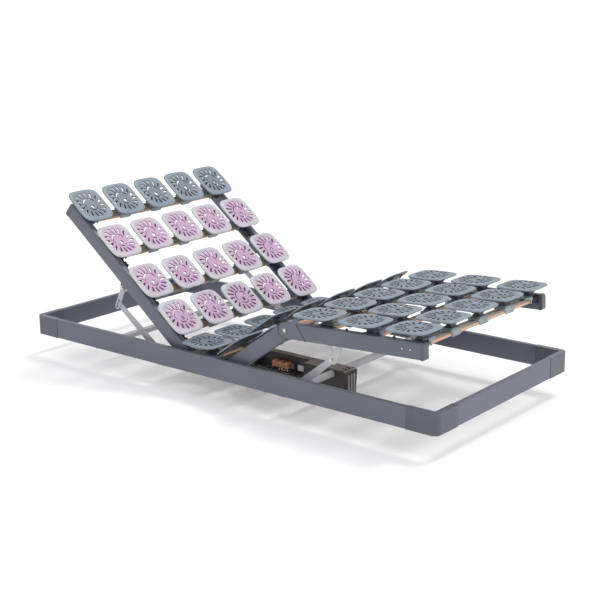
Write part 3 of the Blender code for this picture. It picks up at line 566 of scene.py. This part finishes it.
def plate_cutters():
    """The ring of slots, the crescent inside it, the round hole, and the two curls around the hole."""
    bm = bmesh.new()
    for i in range(SLOT_COUNT):
        angle = math.radians(10 + i * 360 / SLOT_COUNT)
        headward = max(0.0, math.cos(angle - math.radians(200)))
        start = SLOT_RING[0] - 0.003 * headward
        end = SLOT_RING[1] + 0.003 * headward
        add_prism(bm, slot_outline(angle, start, end, 0.0055, 0.0045), -0.02, 0.02)
    add_prism(bm, comma_outline((0.0, 0.0), 0.0335, 168, 128, 0.0052), -0.02, 0.02)
    add_prism(bm, [(0.0105 + 0.0092 * math.cos(a), 0.001 + 0.0078 * math.sin(a))
                   for a in (2 * math.pi * k / 20 for k in range(20))], -0.02, 0.02)
    add_prism(bm, comma_outline((-0.0175, 0.0125), 0.0115, 40, 190, 0.0062), -0.02, 0.02)
    add_prism(bm, comma_outline((0.0100, 0.0015), 0.0215, -72, 150, 0.0050), -0.02, 0.02)
    return finish_mesh(bm)


def ring_of(bm, t, z, power=4.4):
    verts = []
    for i in range(PLATE_ANGLES):
        a = 2 * math.pi * i / PLATE_ANGLES
        blend = 2.0 + (power - 2.0) * t
        u, v = superellipse(a, PLATE_HALF_LENGTH * t, PLATE_HALF_WIDTH * t, blend)
        verts.append(bm.verts.new((u, v, z)))
    return verts


def plate_blank():
    """The unslotted plate: a domed skin with a raised, rounded rim that turns down at its edge."""
    bm = bmesh.new()
    shares = [0.14, 0.30, 0.46, 0.60, 0.70, 0.765, 0.785, 0.80, 0.815, 0.835, 0.87, 0.90, 0.93, 0.965, 0.985]
    top = [ring_of(bm, t, plate_height(t)) for t in shares]
    edge = [ring_of(bm, 1.0, plate_height(1.0) - 0.0012), ring_of(bm, 0.997, -PLATE_EDGE + 0.0008)]
    under = [ring_of(bm, t, z) for t, z in ((0.982, -PLATE_EDGE), (0.955, -PLATE_EDGE + 0.0004))]
    under += [ring_of(bm, t, plate_height(t) - PLATE_SKIN) for t in (0.93, 0.80, 0.60, 0.30, 0.14)]
    rings = top + edge + under
    for low, high in zip(rings, rings[1:]):
        for i in range(PLATE_ANGLES):
            j = (i + 1) % PLATE_ANGLES
            bm.faces.new((low[i], low[j], high[j], high[i]))
    bm.faces.new(rings[0])
    bm.faces.new(rings[-1])
    return finish_mesh(bm)


def cut_plate():
    """The finished plate. Its underside takes material 1, and the walls of its slots material 2. On the grey
    rows the underside is the dark stem plastic as painted shade under the plate; the slot walls of both rows
    are darker plastic as painted shade in the openings.
    """
    blank = bpy.data.objects.new("plate_blank", plate_blank())
    cutter = bpy.data.objects.new("plate_cutter", plate_cutters())
    for obj in (blank, cutter):
        ROOT.objects.link(obj)
    hole = blank.modifiers.new("slots", "BOOLEAN")
    hole.object = cutter
    hole.operation = "DIFFERENCE"
    hole.solver = "EXACT"
    hole.use_self = True
    graph = bpy.context.evaluated_depsgraph_get()
    mesh = bpy.data.meshes.new_from_object(blank.evaluated_get(graph))
    for obj in (blank, cutter):
        bpy.data.objects.remove(obj)
    for polygon in mesh.polygons:
        along = abs(polygon.center.x) / PLATE_HALF_LENGTH
        across = abs(polygon.center.y) / PLATE_HALF_WIDTH
        # Downward faces: on the grey rows the dark stem plastic, painted shade under the plate.
        if polygon.normal.z < -0.3:
            polygon.material_index = 1
        # Slot walls inside the rim take material 2, darker plastic as painted shade in the openings.
        elif max(along, across) < SLOT_SHADE_WITHIN and polygon.normal.z < 0.5:
            polygon.material_index = 2
    return mesh


def mark_shares(mesh, count, places):
    """Writes how far each vertex of a row of plates lies from its plate's middle, as "share"."""
    shares = mesh.attributes.new("share", "FLOAT", "POINT")
    for index, vertex in enumerate(mesh.vertices):
        u = abs(vertex.co.x - CENTRE_ON_SLAT) / PLATE_HALF_LENGTH
        v = abs(vertex.co.y - places[index // count]) / PLATE_HALF_WIDTH
        shares.data[index].value = (u ** 3 + v ** 3) ** (1 / 3)


def spring_arms(bm):
    """The stem of one plate and its four curved arms, with heights from the slat's middle."""
    stem_low, stem_high = 0.020, 0.044
    add_prism(bm, rounded((-0.0125, -0.0145), (0.0125, 0.0145), 0.005), stem_low, stem_high)
    add_prism(bm, rounded((-0.017, -0.019), (0.017, 0.019), 0.006), stem_low - 0.004, stem_low + 0.0035)
    middle = -CENTRE_ON_SLAT
    under = PLATE_TOP_OVER_SLAT - PLATE_EDGE
    for su in (-1, 1):
        for sv in (-1, 1):
            start = Vector((su * 0.009, sv * 0.010, 0.030))
            end = Vector((-middle + su * 0.052, sv * 0.046, under + 0.0012))
            bulge = Vector((start.x + (end.x - start.x) * 0.3, sv * 0.056, under - 0.002))
            points, widths = [], []
            for i in range(10):
                share = i / 9
                points.append(start.lerp(bulge, share).lerp(bulge.lerp(end, share), share))
                widths.append(0.013 - 0.005 * share)
            along = (end - start).cross(Vector((0.0, 0.0, 1.0)))
            add_strip(bm, points, along, widths, 0.0024)
            add_prism(bm, arc((end.x, end.y), 0.0052, 0, 330, 11), under - 0.001, under + 0.0035)


def carrier(bm, y, low_limit, high_limit):
    """The clip of one plate on the slat: a bridge over the wood, side cheeks and a raised collar."""
    y0, y1 = max(y - CLIP_REACH, low_limit), min(y + CLIP_REACH, high_limit)
    add_prism(bm, rounded((y0, 0.0065), (y1, 0.0150), 0.0028, 3), -0.0225, 0.0225, "X")
    for side in (-1, 1):
        x = sorted((side * 0.0196, side * 0.0232))
        add_prism(bm, rounded((y0 + 0.008, -0.0085), (y1 - 0.008, 0.0125), 0.0035, 3), x[0], x[1], "X")
    stem_y = max(low_limit + 0.02, min(high_limit - 0.02, y))
    add_prism(bm, rounded((-0.021, stem_y - 0.023), (0.021, stem_y + 0.023), 0.006), 0.0145, 0.0185)


def carrier_links(bm, low_limit, high_limit):
    """The two thin ribs along the slat that join the clips."""
    for side in (-1, 1):
        x = sorted((side * 0.0105, side * 0.0145))
        add_prism(bm, rounded((low_limit, 0.0063), (high_limit, 0.0105), 0.0008, 2), x[0], x[1], "X")


def slat_mesh(half):
    """A slat with eased edges. Its ends reach into the holders."""
    bm = bmesh.new()
    width, thick = 0.0190, 0.0058
    add_prism(bm, rounded((-width, -thick), (width, thick), 0.0022, 3), -half + 0.012, half - 0.012, "Y")
    return finish_mesh(bm)


def holder(bm, side, half):
    """The holder at one end of a slat: a boot round the slat's end, with a flange on the rail."""
    def along(inner, outer):
        return sorted((side * inner, side * outer))
    outer, boot = half - 0.0004, half - 0.034
    low, high = along(boot, outer - 0.003)
    add_prism(bm, rounded((-0.0225, -0.0095), (0.0225, 0.0098), 0.004, 3), low, high, "Y")
    low, high = along(outer - 0.0035, outer)
    add_prism(bm, rounded((-0.0265, -0.0150), (0.0265, 0.0185), 0.005, 3), low, high, "Y")
    for x in (-0.013, 0.0, 0.013):
        low, high = along(boot + 0.004, outer - 0.003)
        add_prism(bm, rounded((x - 0.0018, 0.009), (x + 0.0018, 0.0125), 0.0008, 2), low, high, "Y")


def adjuster(bm, side, half):
    """The firmness slider beside a holder: a rail of two runners, its slider, and a knob."""
    def along(inner, outer):
        return sorted((side * inner, side * outer))
    low, high = along(half - 0.026, half - 0.0006)
    add_prism(bm, rounded((0.0225, -0.0130), (0.0300, 0.0045), 0.002, 2), low, high, "Y")
    for inner in (0.0245, 0.0105):
        low, high = along(half - inner, half - inner + 0.0075)
        add_prism(bm, rounded((0.0260, -0.0090), (0.0660, 0.0010), 0.002, 2), low, high, "Y")
    low, high = along(half - 0.0270, half - 0.0010)
    add_prism(bm, rounded((0.0400, -0.0125), (0.0530, 0.0050), 0.003, 3), low, high, "Y")
    add_prism(bm, arc((0.0620, side * (half - 0.020)), 0.0055, 0, 330, 11), -0.012, 0.0070)


def row_matrix(slat_name, along):
    """The row's own axes: X along the section towards the foot, Y across, Z off the surface."""
    low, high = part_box(slat_name)
    centre = (low + high) / 2
    across = Vector((0.0, 1.0, 0.0))
    normal = along.cross(across)
    turn = Matrix((along, across, normal)).transposed().to_4x4()
    # The holders make a slat's box a little deeper below the wood than above it.
    return Matrix.Translation(centre) @ turn @ Matrix.Translation((0.0, 0.0, 0.001))


def copies(mesh, offsets):
    """One mesh that holds a copy of the given mesh at each offset."""
    bm = bmesh.new()
    for offset in offsets:
        before = len(bm.verts)
        bm.from_mesh(mesh)
        bm.verts.ensure_lookup_table()
        bmesh.ops.translate(bm, verts=bm.verts[before:], vec=offset)
    made = bpy.data.meshes.new("copies")
    bm.to_mesh(made)
    bm.free()
    made.shade_smooth()
    made.set_sharp_from_angle(angle=math.radians(38))
    return made


def make_row(label, number, body, along, plate, pink):
    suffix = f"_{number}" if number else ""
    slat_name, plates_name = f"{label}_slat{suffix}", f"{label}_plates{suffix}"
    low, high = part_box(slat_name)
    half = (high.y - low.y) / 2
    matrix = row_matrix(slat_name, along)
    places = [(i - (PLATES_PER_ROW - 1) / 2) * PLATE_PITCH for i in range(PLATES_PER_ROW)]
    inner = half - ROW_END_GAP

    offsets = [(CENTRE_ON_SLAT, y, PLATE_TOP_OVER_SLAT - 0.0012) for y in places]
    # Materials 0 to 2: top, underside, slot walls. Grey rows: dark stem plastic underneath and dark grey slot
    # walls, both painted shade. Pink rows: carrier plastic underneath and darker mauve slot walls, the mauve
    # painted shade.
    colours = ["pink", "carrier", "mauve"] if pink else ["grey", "stem", "slot"]
    plates = copies(plate, offsets)
    mark_shares(plates, len(plate.vertices), places)
    plates.transform(matrix)
    piece(f"{plates_name}_shells", plates, colours, body, [plates_name])

    arms = bmesh.new()
    spring_arms(arms)
    arm_mesh = finish_mesh(arms)
    stem_mesh = copies(arm_mesh, [(0.0, y, 0.0) for y in places])
    stem_mesh.transform(matrix)
    piece(f"{label}_stems{suffix}", stem_mesh, ["stem"], body)

    clips = bmesh.new()
    for y in places:
        carrier(clips, y, -inner, inner)
    carrier_links(clips, -inner, inner)
    clip_mesh = finish_mesh(clips)
    clip_mesh.transform(matrix)
    piece(f"{label}_clips{suffix}", clip_mesh, ["carrier"], body)

    wood = slat_mesh(half)
    wood.transform(matrix)
    piece(f"{slat_name}_wood", wood, ["beech"], body, [slat_name])

    holders = bmesh.new()
    for side in (NEAR, FAR):
        holder(holders, side, half)
        if pink:
            adjuster(holders, side, half)
    holder_mesh = finish_mesh(holders)
    holder_mesh.transform(matrix)
    piece(f"{label}_holders{suffix}", holder_mesh, ["rubber_and_painted_shade"], body)


def make_rows():
    plate = cut_plate()
    back = section_slope("backrest_slat_1", "backrest_slat_4")
    thigh = section_slope("thigh_slat_1", "thigh_slat_2")
    for number in (1, 2, 3, 4):
        make_row("backrest", number, "backrest", back, plate, number > 1)
    make_row("seat", 0, "base", Vector((1.0, 0.0, 0.0)), plate, False)
    for number in (1, 2):
        make_row("thigh", number, "thigh", thigh, plate, False)
    for number in (1, 2, 3):
        make_row("calf", number, "calf", CALF, plate, False)


# ---------------------------------------------------------------- drive

RIB_COUNT = 3
RIB_HEIGHT = 0.0030
TERMINALS = 5


# Mask of upward faces, which take the painted light.
def faces_up(centre, normal):
    return normal.z > 0.6


def make_drive():
    """The CAD shells keep their shape. Ribs, terminals and a blank label are added to them."""
    low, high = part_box("drive_housing")
    # Upward faces at the housing's top take the lighter taupe, painted light.
    refined("drive_housing", "housing", 0.0012, 3, "painted_light_taupe",
            lambda centre, normal: normal.z > 0.6 and centre.z > high.z - 0.004)
    refined("drive_bottom_cover", "housing", 0.0008, 2)
    for name in ("shaft_cover_head", "shaft_cover_foot"):
        # Every upward face of the shaft covers takes the lighter taupe, painted light.
        refined(name, "housing", 0.0008, 2, "painted_light_taupe", faces_up)
    for name in ("head_motor", "foot_motor", "head_push_block", "foot_push_block"):
        refined(name, "turned", 0.0004, 2)
    make_ribs(low, high)
    make_recess(low)


def make_ribs(low, high):
    """Ribs along the top of the foot end and down its end face, in the lighter taupe as painted light, over a
    dark sheet that shows between them as painted shade.
    """
    ribs, groove_shade = bmesh.new(), bmesh.new()
    top, end = high.z, high.x
    # A dark sheet under the ribs: painted shade in the gaps between them.
    add_prism(groove_shade, rounded((end - 0.096, low.y + 0.005), (end - 0.012, high.y - 0.005), 0.002),
              top - 0.0005, top + 0.0006)
    add_prism(groove_shade, rounded((low.y + 0.004, low.z + 0.006), (high.y - 0.010, top - 0.012), 0.002),
              end - 0.0005, end + 0.0006, "X")
    for i in range(RIB_COUNT):
        y = low.y + 0.008 + i * 0.023
        outline = rounded((end - 0.094, y), (end - 0.014, y + 0.011), 0.003)
        add_prism(ribs, outline, top - 0.0005, top + RIB_HEIGHT)
        y = low.y + 0.016 + i * 0.017
        outline = rounded((y, low.z + 0.009), (y + 0.009, top - 0.015), 0.003)
        add_prism(ribs, outline, end - 0.0005, end + RIB_HEIGHT, "X")
    piece("drive_ribs", finish_mesh(ribs), ["painted_light_taupe"], "base")
    piece("drive_groove_shade", finish_mesh(groove_shade), ["rubber_and_painted_shade"], "base")


def make_recess(low):
    """What lies in the service recess: a board with its parts, the terminals and a blank label."""
    block_low, block_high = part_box("connector_block")
    floor, back = block_low.z, block_high.y
    block = bmesh.new()
    pitch = (block_high.x - block_low.x) / TERMINALS
    for i in range(TERMINALS):
        x0 = block_low.x + i * pitch
        add_box(block, (x0 + 0.0006, x0 + pitch - 0.0006), (block_low.y, back),
                (floor + 0.014, block_high.z - 0.003 * (i % 2)), 0.0015)
        add_box(block, (x0 + 0.003, x0 + pitch - 0.003), (block_low.y - 0.003, block_low.y + 0.002),
                (floor + 0.018, floor + 0.026), 0.0008)
    piece("connector_terminals", finish_mesh(block), ["connector"], "base", ["connector_block"])

    wires = bmesh.new()
    for i in range(4):
        x = block_low.x + 0.040 + i * 0.013
        add_box(wires, (x, x + 0.006), (block_low.y - 0.008, block_low.y - 0.003),
                (floor + 0.008, floor + 0.013 + 0.003 * (i % 2)), 0.0015)
    piece("yellow_terminals", finish_mesh(wires), ["yellow"], "base")

    board = bmesh.new()
    add_box(board, (block_low.x - 0.075, block_high.x + 0.020), (low.y + 0.002, back),
            (floor - 0.0004, floor + 0.0022), 0.002)
    piece("drive_board", finish_mesh(board), ["board"], "base")
    parts = bmesh.new()
    for i in range(7):
        x = block_low.x - 0.050 + i * 0.026
        depth = low.y + 0.008 + 0.004 * (i % 3)
        add_box(parts, (x, x + 0.012), (depth, depth + 0.010),
                (floor + 0.002, floor + 0.008 + 0.003 * (i % 2)), 0.0015)
    piece("board_parts", finish_mesh(parts), ["rubber_and_painted_shade"], "base")

    socket = bmesh.new()
    add_box(socket, (block_high.x + 0.004, block_high.x + 0.018), (back - 0.016, back),
            (floor + 0.016, floor + 0.036), 0.002)
    piece("drive_socket", finish_mesh(socket), ["board"], "base")
    label = bmesh.new()
    add_box(label, (block_high.x + 0.028, block_high.x + 0.064), (back - 0.0011, back + 0.0002),
            (floor + 0.008, floor + 0.031), 0.0)
    piece("drive_label", finish_mesh(label), ["label"], "base")


# ---------------------------------------------------------------- stage

SENSOR = 36.0
FOCAL = 78.99
FRAME_RAISE = 0.09
CAMERA_PLACE = (3.2143, -3.8898, 1.5636 + FRAME_RAISE)
CAMERA_AZIMUTH, CAMERA_ELEVATION, CAMERA_ROLL = 39.04, 15.018, -0.442


def make_camera():
    a, e, r = (math.radians(x) for x in (CAMERA_AZIMUTH, CAMERA_ELEVATION, CAMERA_ROLL))
    back = Vector((math.sin(a) * math.cos(e), -math.cos(a) * math.cos(e), math.sin(e)))
    right = Vector((math.cos(a), math.sin(a), 0.0))
    up = back.cross(right)
    rolled_right = right * math.cos(r) + up * math.sin(r)
    rolled_up = up * math.cos(r) - right * math.sin(r)
    camera = bpy.data.objects.new("camera", bpy.data.cameras.new("camera"))
    ROOT.objects.link(camera)
    matrix = Matrix((rolled_right, rolled_up, back)).transposed().to_4x4()
    matrix.translation = CAMERA_PLACE
    camera.matrix_world = matrix
    camera.data.sensor_width = SENSOR
    camera.data.lens = FOCAL
    camera.data.clip_end = 60.0
    bpy.context.scene.camera = camera


def add_light(name, kind, place, power, colour=(1.0, 1.0, 1.0), **settings):
    """A lamp aimed at the middle of the bed."""
    light = bpy.data.objects.new(name, bpy.data.lights.new(name, kind))
    light.data.energy = power
    light.data.color = colour
    for key, value in settings.items():
        setattr(light.data, key, value)
    ROOT.objects.link(light)
    light.location = place
    light.rotation_mode = "QUATERNION"
    light.rotation_quaternion = (Vector(place) - Vector((0.0, 0.0, 0.2))).to_track_quat("Z", "Y")


def make_stage():
    world = bpy.data.worlds.new("studio")
    world.use_nodes = True
    background = world.node_tree.nodes["Background"]
    background.inputs["Color"].default_value = (1.0, 1.0, 1.0, 1.0)
    background.inputs["Strength"].default_value = 1.0
    bpy.context.scene.world = world
    bpy.context.scene.view_settings.view_transform = "Standard"
    bm = bmesh.new()
    reach = 40.0
    bm.faces.new([bm.verts.new((x, y, 0.0)) for x, y in
                  ((-reach, -reach), (reach, -reach), (reach, reach), (-reach, reach))])
    floor = bpy.data.objects.new("studio_floor", finish_mesh(bm))
    floor.location.z = -0.0005
    ROOT.objects.link(floor)
    pale = new_material("pale_floor", (0.85, 0.85, 0.86), 0.7, specular=0.2)
    tinted(pale, 0.7, ((0.84, 0.84, 0.855), (0.86, 0.86, 0.87)))
    shader = pale.node_tree.nodes["Principled BSDF"]
    shader.inputs["Emission Color"].default_value = (1.0, 1.0, 1.0, 1.0)
    shader.inputs["Emission Strength"].default_value = 0.13
    floor.data.materials.append(pale)
    add_light("overhead_sun", "SUN", (0.35, 1.5, 3.0), 0.9, (1.0, 0.99, 0.97), angle=math.radians(14))
    add_light("foot_fill", "AREA", (4.5, -0.6, 1.6), 20.0, (0.97, 0.98, 1.0), shape="DISK", size=2.0)


refine_frame()
make_fasteners()
make_rows()
make_drive()
make_camera()
make_stage()
